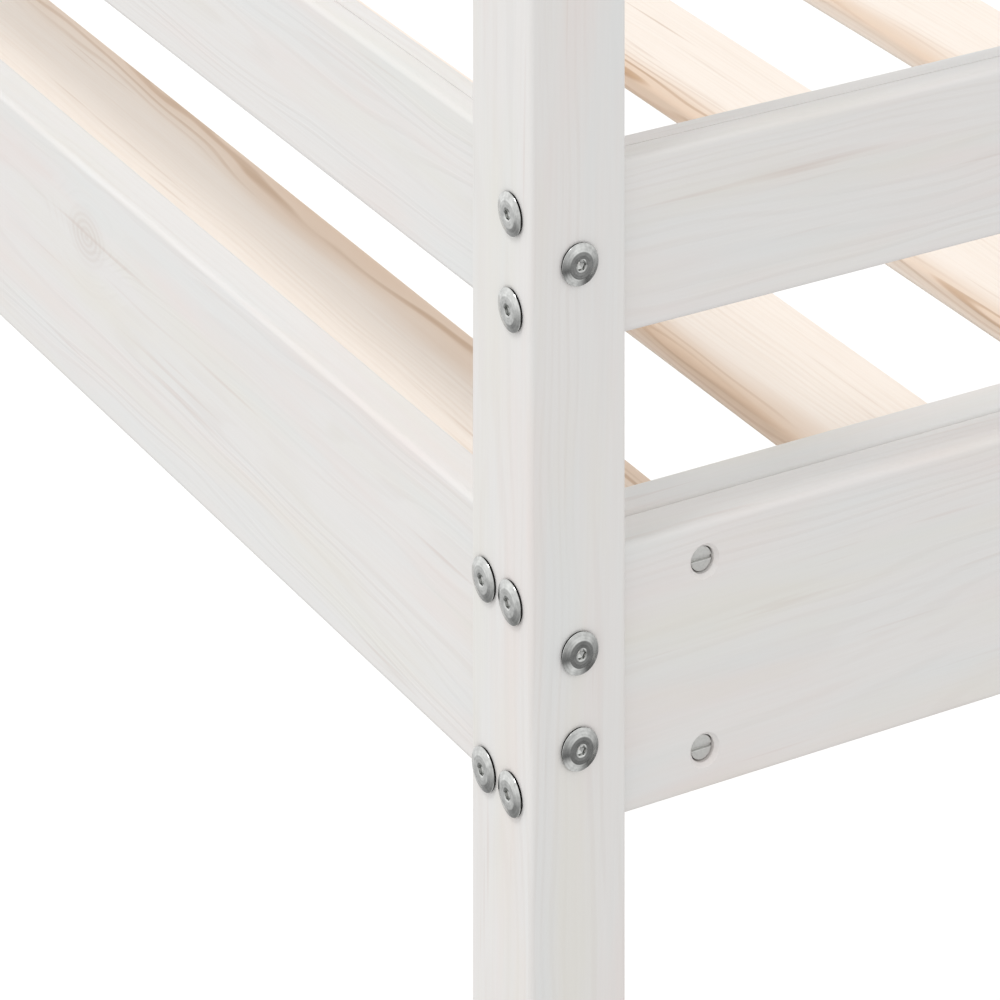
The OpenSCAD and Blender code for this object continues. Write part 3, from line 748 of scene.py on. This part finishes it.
def bolt(fitting, length):
    """Flat-head connector bolt, head's underside at Z = 0 and shank down: hexagon socket with a turned mouth,
    flat, bevel, soft rim and an undercut that leaves a fine gap at the timber, which the zinc finish colours
    near black as painted shade."""
    head, top = fitting.head_d / 2, fitting.head_h
    flat, key, gap = fitting.head_flat_d / 2, fitting.socket / 2, fitting.rim_gap
    return turned([
        (0.08 * key, -0.1 * top), (key * 0.97, 0.3 * top, hexagon), (key, top - 0.28 * MM, hexagon),
        (1.32 * key, top - 0.02 * MM), (1.38 * key, top), (flat - 0.25 * MM, top), (flat, top - 0.03 * MM),
        (flat + 0.2 * MM, top - 0.13 * MM), (head - 0.35 * MM, gap + 0.42 * MM),
        (head - 0.08 * MM, gap + 0.32 * MM), (head, gap + 0.18 * MM), (head - 0.03 * MM, gap + 0.05 * MM),
        (head - 0.12 * MM, gap), (head - 0.3 * MM, gap - 0.05 * MM), (head - 0.35 * MM, 0.0),
        (fitting.bolt_d / 2, 0.0), (fitting.bolt_d / 2, -length)])


def nut(fitting):
    """Barrel nut, its slotted face at Z = -sink: a plain cylinder up to the slot's floor, and on it two
    halves of a disc with eased rims, one on each side of a slot along X."""
    r, half_slot, face = fitting.nut_d / 2, fitting.slot_w / 2, -fitting.nut_sink
    ease = 0.35 * MM
    floor = face - fitting.slot_h
    body = turned([(0.3 * r, floor), (r, floor), (r, face - fitting.nut_l)], 48)
    halves = []
    for cut, z in ((0, floor - 0.2 * MM), (0, face - ease), (0.3 * ease, face - 0.3 * ease), (ease, face)):
        reach = r - cut
        start = math.asin((half_slot + cut) / reach)
        arc = np.linspace(start, math.pi - start, 25)
        halves.append(np.column_stack([reach * np.cos(arc), reach * np.sin(arc), np.full_like(arc, z)]))
    half = loft(np.array(halves))
    return joined([body, half, placed(half, Matrix.Rotation(math.pi, 4, "Z"))])


def nut_hole(fitting):
    """Cutter for a barrel nut's hole from the face at Z = 0 down, with a chamfered mouth."""
    r, rim = fitting.nut_d / 2 + 0.6 * MM, 1.6 * MM
    depth = fitting.nut_sink + fitting.nut_l
    return turned([(r + 2 * rim, rim), (r + rim, 0.0), (r, -rim), (r, -depth)], 64)


def wood_screw(fitting, length):
    """Countersunk screw, head just proud at Z = 0 and shank down: six-lobed socket, flat, cone and shank."""
    head, shank = fitting.screw_head_d / 2, fitting.screw_d / 2
    proud = 0.12 * MM
    return turned([
        (0.25 * head, -1.2 * MM, star), (0.42 * head, -1.1 * MM, star), (0.45 * head, proud - 0.1 * MM, star),
        (0.54 * head, proud), (head - 0.3 * MM, proud), (head, 0.0), (head - 0.1 * MM, -0.1 * MM),
        (shank, shank - head), (shank, -length * 0.9), (0.2 * shank, -length)], 36)


def make_fittings(name, shape, places, body, *nodes, finish="turned_zinc_plate"):
    """Copies of one fitting at their places as one piece. Each point keeps its place on its own fitting, in
    millimetres, as the attribute "turning"."""
    piece = make_piece(name, joined([placed(shape, m) for m in places]), finish, body, *nodes)
    vectors(piece, "turning", np.tile(shape[0] / MM, (len(places), 1)))
    return piece


def make_timber(node, shape, axes, seed, finish="planed_washed_pine", body=BED, holes=None, knot=None):
    """The timber piece that stands for one CAD node, with its grain along the last of the axes."""
    piece = make_piece(node + "_timber", shape, finish, body, node, holes=holes)
    grain, way = grain_of(vertices(piece), axes, seed, knot=knot)
    vectors(piece, "grain", grain)
    vectors(piece, "knot", way)
    return piece


class BunkOperator(bpy.types.Operator):
    """What the operators below share: their options and quick ways to the settings."""
    bl_options = {"REGISTER", "UNDO"}

    @property
    def timber(self):
        return bpy.context.scene.bunk_timber

    @property
    def fitting(self):
        return bpy.context.scene.bunk_fitting


class BUNK_OT_stage(BunkOperator):
    """Camera, floor and lights"""
    bl_idname = "bunk.stage"
    bl_label = "Stage"

    def execute(self, context):
        scene = context.scene
        stage = scene.bunk_stage
        self.camera(scene, stage)
        self.lights(scene, stage)
        self.floor(scene, stage)
        scene.view_settings.view_transform = "Standard"
        return {"FINISHED"}

    def camera(self, scene, stage):
        """View with an upright picture plane: the camera hangs on a mount whose axes are the picture's own
        right, the world's up and the line of sight, so upright edges stay upright."""
        low, high = (Vector(v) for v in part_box("post_front_left"))
        unit = high.x - low.x
        rail_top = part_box("upper_front_rail_outer")[1][2]
        eye = Vector((low.x - stage.out * unit, low.y - stage.back * unit, rail_top + stage.above * unit))
        right = Vector((math.cos(stage.turn), -math.sin(stage.turn), 0))
        ahead = Vector((math.sin(stage.turn), math.cos(stage.turn), 0))
        up = Vector((0, 0, 1))
        sight = ahead + right * stage.aside - up * stage.down
        mount = bpy.data.objects.new("camera_mount", None)
        camera = bpy.data.objects.new("camera", bpy.data.cameras.new("camera"))
        for item in (mount, camera):
            scene.collection.objects.link(item)
        camera.parent = mount
        camera.matrix_parent_inverse = basis(right, up, -sight.normalized(), eye)
        camera.data.lens = camera.data.sensor_width * stage.zoom * sight.length
        camera.data.clip_end = 200
        scene.camera = camera

    def lights(self, scene, stage):
        """White surroundings and one soft main light from the left. What mirrors see is a room with darker
        lower walls. The world isn't sampled as a light, because that would ignore what mirrors see."""
        world = bpy.data.worlds.new("studio")
        world.use_nodes = True
        tree = world.node_tree
        tree.nodes.clear()
        way = add(tree, "TexCoord").outputs["Generated"]
        height = add(tree, "SeparateXYZ", {0: way}).outputs["Z"]
        upper = add(tree, "MapRange", {"Value": height, "To Min": stage.horizon, "To Max": stage.zenith})
        lower = add(tree, "MapRange", {"Value": height, "From Min": -1, "From Max": 0,
                                       "To Min": stage.nadir - stage.horizon, "To Max": 0})
        sky = add(tree, "Math", {0: upper, 1: lower}, operation="ADD")
        steep = add(tree, "VectorMath", {0: way, 1: (0, 0.25, 1)}, operation="DOT_PRODUCT").outputs["Value"]
        walls = add(tree, "MapRange", {"Value": steep, "From Min": -0.9, "From Max": 0.25, "To Min": 0.16,
                                       "To Max": 1.4}, interpolation_type="SMOOTHSTEP")
        under = add(tree, "VectorMath", {0: way, 1: (0, -0.3, -1)}, operation="DOT_PRODUCT").outputs["Value"]
        ground = add(tree, "MapRange", {"Value": under, "From Min": 0.82, "From Max": 0.98, "To Max": 0.9})
        room = add(tree, "Math", {0: walls, 1: ground}, operation="ADD")
        rays = add(tree, "LightPath").outputs
        lit = add(tree, "MixShader", {0: rays["Is Glossy Ray"], 1: add(tree, "Background", {"Strength": sky}),
                                      2: add(tree, "Background", {"Strength": room})})
        seen = add(tree, "Background", {"Strength": 1.0})
        both = add(tree, "MixShader", {0: rays["Is Camera Ray"], 1: lit, 2: seen})
        add(tree, "OutputWorld", {"Surface": both})
        for node in tree.nodes:
            if node.type == "BACKGROUND":
                node.inputs["Color"].default_value = (1, 1, 1, 1)
        world.cycles.sampling_method = "NONE"
        scene.world = world
        flat = math.cos(stage.key_height)
        towards = Vector((-flat * math.cos(stage.key_turn), -flat * math.sin(stage.key_turn),
                          math.sin(stage.key_height)))
        lamp = bpy.data.lights.new("key", "SUN")
        lamp.energy = stage.key
        lamp.angle = stage.key_spread
        key = bpy.data.objects.new("key", lamp)
        key.rotation_euler = towards.to_track_quat("Z", "Y").to_euler()
        scene.collection.objects.link(key)

    def floor(self, scene, stage):
        """A wide matt floor. Light and mirrors look past it into the room, so that undersides stay darker and
        metal keeps its contrast."""
        material, tree = new_material("matt_floor")
        surface(tree, {"Base Color": rgba(stage.floor), "Roughness": 0.9, "Specular IOR Level": 0.1})
        reach = stage.floor_size / 2
        points = np.array([[-reach, -reach, 0], [reach, -reach, 0], [reach, reach, 0], [-reach, reach, 0]])
        floor = bpy.data.objects.new("floor", to_mesh("floor", (points, [[0, 1, 2, 3]])))
        floor.data.materials.append(material)
        floor.visible_glossy = False
        floor.visible_diffuse = False
        scene.collection.objects.link(floor)


class BUNK_OT_posts(BunkOperator):
    """Four square corner posts, planed, with rounded edges and eased tops"""
    bl_idname = "bunk.posts"
    bl_label = "Posts"

    def execute(self, context):
        for seed, (side, end) in enumerate((s, e) for s in SIDES for e in ENDS):
            node = f"post_{side}_{end}"
            shape = board(*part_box(node), "Z", self.timber.post_round, self.timber.post_ease)
            make_timber(node, shape, RUNS["Z"], 10 + seed)
        return {"FINISHED"}


class BUNK_OT_rails(BunkOperator):
    """Every rail between the posts, drilled for its barrel nuts"""
    bl_idname = "bunk.rails"
    bl_label = "Rails"

    def execute(self, context):
        holes = {**nut_places(self.fitting, "X"), **nut_places(self.fitting, "Y")}
        cutter = nut_hole(self.fitting)
        timber = self.timber
        for seed, (node, run, *_) in enumerate(rail_table(self.fitting)):
            groove = (timber.groove_width, timber.groove_depth) if "guard" in node else (0, 0)
            shape = board(*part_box(node), run, timber.edge_round, timber.end_ease, *groove)
            cuts = [placed(cutter, m) for m in holes[node]]
            knot = timber.knot_place if node == "upper_left_end_rail" else None
            make_timber(node, shape, RUNS[run], 40 + seed, holes=cuts, knot=knot)
        shape = board(*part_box("guard_stile"), "Z", timber.edge_round, timber.end_ease)
        cuts = [placed(cutter, m) for m in stile_nut_places(self.fitting)]
        make_timber("guard_stile", shape, RUNS["Z"], 90, holes=cuts)
        return {"FINISHED"}


class BUNK_OT_slats(BunkOperator):
    """Bare pine slats and the ledgers under their ends"""
    bl_idname = "bunk.slats"
    bl_label = "Slats"

    def execute(self, context):
        for row, level in enumerate(LEVELS):
            self.row(level + "_slats", 200 + 50 * row)
            for seed, side in enumerate(SIDES):
                node = f"{level}_{side}_ledger"
                shape = board(*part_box(node), "X", self.timber.edge_round, self.timber.end_ease)
                make_timber(node, shape, RUNS["X"], 190 + 2 * row + seed, finish="planed_bare_pine")
        return {"FINISHED"}

    def row(self, node, seed):
        """The slats from end to end of the node's box, each with its own grain. The first is turned round, so
        that its sapwood lies against the end rail."""
        low, high = (np.array(v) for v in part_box(node))
        width, count = self.timber.slat_width, self.timber.slat_count
        pitch = (high[0] - low[0] - width) / (count - 1)
        shapes, grains, ways = [], [], []
        for i in range(count):
            near = low + [i * pitch, 0, 0]
            far = np.array([near[0] + width, high[1], high[2]])
            shape = board(near, far, "Y", self.timber.edge_round, self.timber.end_ease)
            rng = np.random.default_rng(seed + i)
            side = -1 if i == 0 else 1
            pith = (side * (width / MM / 2 + rng.uniform(-2, 10)), rng.uniform(8, 22))
            knot = None if i % 4 == 3 else (0, 4 * width / MM)
            grain, way = grain_of(shape[0], RUNS["Y"], seed + i, pith, knot)
            shapes.append(shape)
            grains.append(grain)
            ways.append(way)
        piece = make_piece(node + "_timber", joined(shapes), "planed_bare_pine", BED, node)
        vectors(piece, "grain", np.vstack(grains))
        vectors(piece, "knot", np.vstack(ways))


class BUNK_OT_bolts(BunkOperator):
    """Flat-head connector bolts through the posts and the guard stile"""
    bl_idname = "bunk.bolts"
    bl_label = "Bolts"

    def execute(self, context):
        fitting = self.fitting
        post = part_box("post_front_left")
        length = post[1][0] - post[0][0] + fitting.nut_in + fitting.nut_d
        shape = bolt(fitting, length)
        for node, run in (("side_bolts", "X"), ("end_bolts", "Y")):
            make_fittings(node + "_steel", shape, bolt_places(fitting, run), BED, node)
        return {"FINISHED"}


class BUNK_OT_nuts(BunkOperator):
    """Slotted barrel nuts in the rails"""
    bl_idname = "bunk.nuts"
    bl_label = "Barrel nuts"

    def execute(self, context):
        shape = nut(self.fitting)
        for node, run in (("side_barrel_nuts", "X"), ("end_barrel_nuts", "Y")):
            places = [m for group in nut_places(self.fitting, run).values() for m in group]
            make_fittings(node + "_zinc", shape, places, BED, node, finish="cast_zinc_alloy")
        return {"FINISHED"}


class BUNK_OT_stile_fittings(BunkOperator):
    """Bolts, nut and dowels of the guard stile, and the dowels of the rails"""
    bl_idname = "bunk.stile_fittings"
    bl_label = "Stile fittings and dowels"

    def execute(self, context):
        fitting = self.fitting
        low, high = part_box("upper_front_rail_inner")
        long = high[2] - low[2] + fitting.nut_in + fitting.nut_d
        places, foot = stile_bolt_places(fitting)
        make_fittings("stile_bolts_steel", bolt(fitting, fitting.stile_bolt), places, BED, "stile_bolts")
        make_fittings("stile_long_bolt_steel", bolt(fitting, long), [foot], BED, "stile_bolts")
        make_fittings("stile_nuts_zinc", nut(fitting), stile_nut_places(fitting), BED, "stile_nuts",
                      finish="cast_zinc_alloy")
        for node in ("side_dowels", "end_dowels", "stile_dowels"):
            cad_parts[node].material_slots[0].material = finished("turned_beech")
        return {"FINISHED"}


class BUNK_OT_screws(BunkOperator):
    """Countersunk screws through the slats' ends and the ledgers"""
    bl_idname = "bunk.screws"
    bl_label = "Screws"

    def execute(self, context):
        slat_places, ledger_places = [], []
        for level in LEVELS:
            middles = slat_middles(self.timber, level + "_slats")
            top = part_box(level + "_slats")[1][2]
            for side, inwards in zip(SIDES, (1, -1)):
                low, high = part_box(f"{level}_{side}_ledger")
                spot = centre(f"{level}_{side}_ledger")
                face = (high if inwards > 0 else low)[1]
                slat_places += [facing((0, 0, 1), (1, 0, 0), (x, spot.y, top)) for x in middles]
                between = (middles[0:-1:2] + middles[1::2]) / 2
                ledger_places += [facing((0, inwards, 0), (1, 0, 0), (x, face, spot.z)) for x in between]
        fitting = self.fitting
        for node, places, length in (("slat_screws", slat_places, fitting.slat_screw),
                                     ("ledger_screws", ledger_places, fitting.ledger_screw)):
            make_fittings(node + "_steel", wood_screw(fitting, length), places, BED, node)
        return {"FINISHED"}


class BUNK_OT_glides(BunkOperator):
    """Round nylon glide under each post"""
    bl_idname = "bunk.glides"
    bl_label = "Glides"

    def execute(self, context):
        low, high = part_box("post_glides")
        rise = high[2] - low[2]
        reach = self.fitting.glide_d / 2
        shape = turned([(0.5 * reach, rise), (reach - 0.4 * MM, rise), (reach, rise - 0.4 * MM),
                        (reach, 1.6 * MM), (reach - 0.5 * MM, 0.6 * MM), (reach - 1.5 * MM, 0),
                        (0.6 * reach, 0)])
        shapes = []
        for side in SIDES:
            for end in ENDS:
                spot = centre(f"post_{side}_{end}")
                shapes.append(placed(shape, Matrix.Translation((spot.x, spot.y, low[2]))))
        make_piece("post_glides_nylon", joined(shapes), "moulded_nylon", BED, "post_glides")
        return {"FINISHED"}


class BUNK_OT_ladder(BunkOperator):
    """Leaning ladder: two stiles, the treads and their screws"""
    bl_idname = "bunk.ladder"
    bl_label = "Ladder"

    def execute(self, context):
        timber, lean = self.timber, self.timber.ladder_lean
        leaning = ((1, 0, 0), (0, math.cos(lean), -math.sin(lean)), (0, math.sin(lean), math.cos(lean)))
        for seed, side in enumerate(ENDS):
            node = f"ladder_stile_{side}"
            low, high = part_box(node)
            depth, foot = lean_line(node, lean)
            shape = beam(high[0] - low[0], depth, timber.edge_round, high[2] - low[2], timber.end_ease,
                         slope=math.tan(lean))
            shape = placed(shape, Matrix.Translation(((low[0] + high[0]) / 2, foot, low[2])))
            make_timber(node, shape, leaning, 300 + seed, body=LADDER)
        screws = []
        treads = sorted(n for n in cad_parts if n.startswith("ladder_tread"))
        for seed, node in enumerate(treads):
            shape = board(*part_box(node), "X", timber.edge_round, timber.end_ease)
            make_timber(node, shape, RUNS["X"], 320 + seed, body=LADDER)
            screws += self.tread_screws(node)
        shape = wood_screw(self.fitting, self.fitting.tread_screw)
        make_fittings("ladder_screws_steel", shape, screws, LADDER, "ladder_screws")
        return {"FINISHED"}

    def tread_screws(self, node):
        """Two screws through each stile into the tread, a quarter of its depth from its middle."""
        low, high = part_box(node)
        spot = centre(node)
        quarter = (high[1] - low[1]) / 4
        places = []
        for side, out in zip(ENDS, (-1, 1)):
            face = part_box(f"ladder_stile_{side}")[0 if out < 0 else 1][0]
            for step in (-quarter, quarter):
                places.append(facing((out, 0, 0), (0, 0, 1), (face, spot.y + step, spot.z)))
        return places


class BUNK_OT_ladder_fittings(BunkOperator):
    """Bent steel hooks at the ladder's top, and the pads under its foot"""
    bl_idname = "bunk.ladder_fittings"
    bl_label = "Ladder hooks and pads"

    def execute(self, context):
        fitting, lean = self.fitting, self.timber.ladder_lean
        screws = []
        for side in ENDS:
            node = f"ladder_hook_{side}"
            path = self.hook_path(node, f"ladder_stile_{side}", lean)
            low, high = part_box(node)
            shape = strap(path, high[0] - low[0], fitting.hook_t, 0.9 * MM)
            shape = placed(shape, Matrix.Translation(((low[0] + high[0]) / 2, 0, 0)))
            make_piece(node + "_steel", shape, "powder_coated_steel", LADDER, node)
            screws += self.hook_screws(path, (low[0] + high[0]) / 2, lean)
        make_fittings("ladder_hook_screws", wood_screw(fitting, fitting.hook_screw), screws, LADDER)
        self.pads()
        return {"FINISHED"}

    def hook_path(self, node, stile, lean):
        """Middle line of a hook in the YZ plane: up along the stile's back edge, level over the two side
        rails and down behind them, with an arc at each bend."""
        low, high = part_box(node)
        half = self.fitting.hook_t / 2
        depth, foot = lean_line(stile, lean)
        slope = math.tan(lean)
        back = foot + depth / 2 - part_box(stile)[0][2] * slope + half / math.cos(lean)
        level = high[2] - half
        inner = high[1] - half
        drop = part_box("upper_slats")[1][2] + 1.5 * MM
        corners = [(back + low[2] * slope, low[2]), (back + level * slope, level), (inner, level),
                   (inner, drop)]
        return bent(corners, self.fitting.hook_bend)

    def hook_screws(self, path, x, lean):
        """Two countersunk screws through the hook's long leg, square to it."""
        out = Vector((0, math.cos(lean), -math.sin(lean)))
        places = []
        for step in (self.fitting.hook_screw_low, self.fitting.hook_screw_high):
            spot = Vector((x, path[0][0] + step * math.sin(lean), path[0][1] + step * math.cos(lean)))
            places.append(facing(out, (1, 0, 0), spot + out * self.fitting.hook_t / 2))
        return places

    def pads(self):
        """A rubber pad under each stile: a low block with rounded corners and edges."""
        low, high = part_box("ladder_pads")
        rounding = (self.fitting.pad_round, self.fitting.pad_ease)
        shapes = []
        for side in ENDS:
            near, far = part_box(f"ladder_stile_{side}")
            corners = (near[0], low[1], low[2]), (far[0], high[1], high[2])
            shapes.append(board(*corners, "Z", *rounding))
        make_piece("ladder_pads_rubber", joined(shapes), "moulded_rubber", LADDER, "ladder_pads")


class BUNK_PT_panel(bpy.types.Panel):
    """Sizes, colours and the operators that build the bed"""
    bl_idname = "BUNK_PT_panel"
    bl_label = "Bunk Bed"
    bl_space_type = "VIEW_3D"
    bl_region_type = "UI"
    bl_category = "Bunk Bed"

    def draw(self, context):
        for group in (context.scene.bunk_timber, context.scene.bunk_fitting, context.scene.bunk_stage):
            box = self.layout.box()
            for name in group.__annotations__:
                box.prop(group, name)
        for operator in OPERATORS:
            self.layout.operator(operator.bl_idname)


OPERATORS = (BUNK_OT_stage, BUNK_OT_posts, BUNK_OT_rails, BUNK_OT_slats, BUNK_OT_bolts, BUNK_OT_nuts,
             BUNK_OT_stile_fittings, BUNK_OT_screws, BUNK_OT_glides, BUNK_OT_ladder, BUNK_OT_ladder_fittings)
CLASSES = (TimberSettings, FittingSettings, StageSettings, *OPERATORS, BUNK_PT_panel)


def register():
    for cls in CLASSES:
        bpy.utils.register_class(cls)
    bpy.types.Scene.bunk_timber = PointerProperty(type=TimberSettings)
    bpy.types.Scene.bunk_fitting = PointerProperty(type=FittingSettings)
    bpy.types.Scene.bunk_stage = PointerProperty(type=StageSettings)


def unregister():
    for name in ("bunk_timber", "bunk_fitting", "bunk_stage"):
        delattr(bpy.types.Scene, name)
    for cls in reversed(CLASSES):
        bpy.utils.unregister_class(cls)


def main():
    register()
    for operator in OPERATORS:
        group, name = operator.bl_idname.split(".")
        getattr(getattr(bpy.ops, group), name)()


if __name__ == "__main__":
    main()
